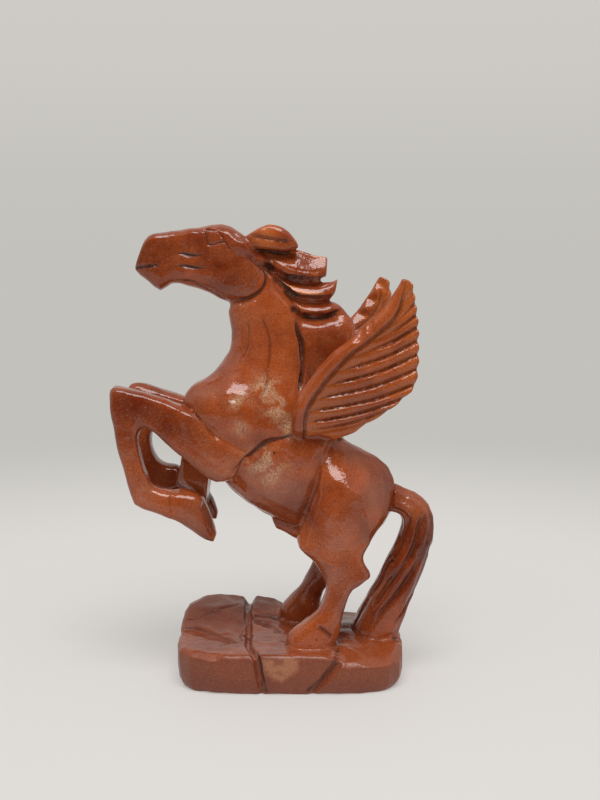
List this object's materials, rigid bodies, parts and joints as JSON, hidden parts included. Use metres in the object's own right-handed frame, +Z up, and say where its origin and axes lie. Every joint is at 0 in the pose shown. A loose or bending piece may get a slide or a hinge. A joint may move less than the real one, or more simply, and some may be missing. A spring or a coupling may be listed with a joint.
{
  "type": "winged horse figurine",
  "caption": "Rearing winged horse carved in polished red aventurine, standing on a cracked rock base; its carved members are parted along the grooves.",
  "frame": {"origin": "middle of the flat underside of the rock base", "axes": "+X from the head to the tail, +Y from the near (left) side to the far side, +Z up"},
  "size_m": [0.1132, 0.054, 0.1594],
  "materials": {
    "aventurine": "polished"
  },
  "bodies": {
    "root": {"rock_base": "aventurine", "barrel": "aventurine", "neck_and_chest": "aventurine", "head": "aventurine", "near_ear": "aventurine", "far_ear": "aventurine", "mane_lock_1": "aventurine", "mane_lock_2": "aventurine", "mane_lock_3": "aventurine", "mane_panel": "aventurine", "near_wing": "aventurine", "far_wing": "aventurine", "near_foreleg": "aventurine", "far_foreleg": "aventurine", "near_hindquarter": "aventurine", "far_hindquarter": "aventurine", "tail": "aventurine"}
  },
  "joints": []
}
